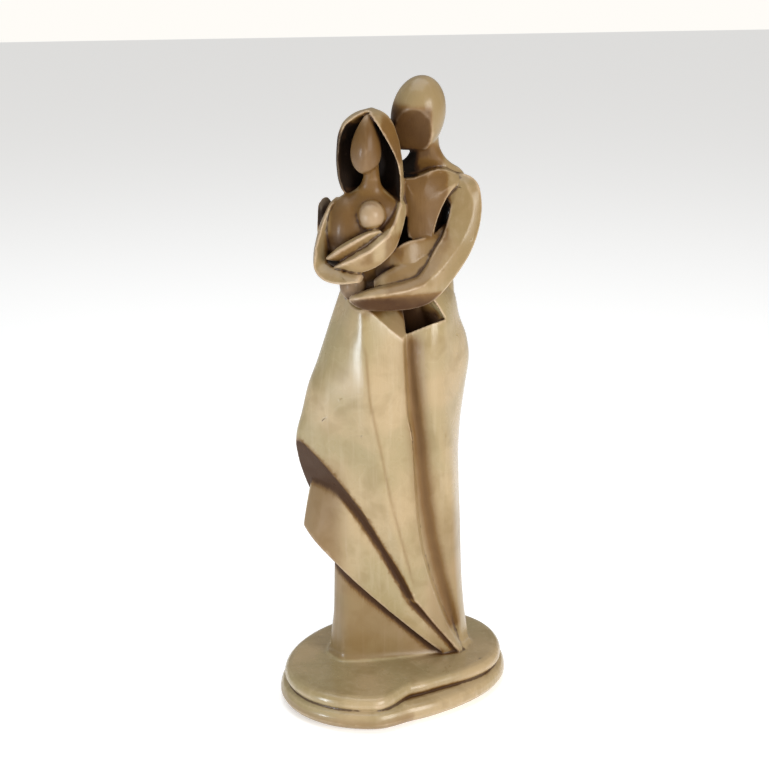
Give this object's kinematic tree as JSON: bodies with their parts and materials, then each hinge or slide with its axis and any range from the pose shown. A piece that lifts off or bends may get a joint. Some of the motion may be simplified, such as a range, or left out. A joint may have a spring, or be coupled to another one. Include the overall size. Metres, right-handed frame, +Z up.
{
  "type": "couple figurine",
  "caption": "Stylised faceless couple standing in an embrace, she in a draped dress with diagonal hems, cast in one with a two-stepped oval base",
  "frame": {"origin": "bottom centre of the overall box, on the table the base stands on", "axes": "+Z up, -Y the way the couple faces, +X to the couple's left"},
  "size_m": [0.1166, 0.1014, 0.3],
  "materials": {
    "couple_figurine": "cast resin, ochre with dark brown wash in the recesses, clear varnish"
  },
  "bodies": {
    "root": {"couple_figurine": "couple_figurine"}
  },
  "joints": []
}
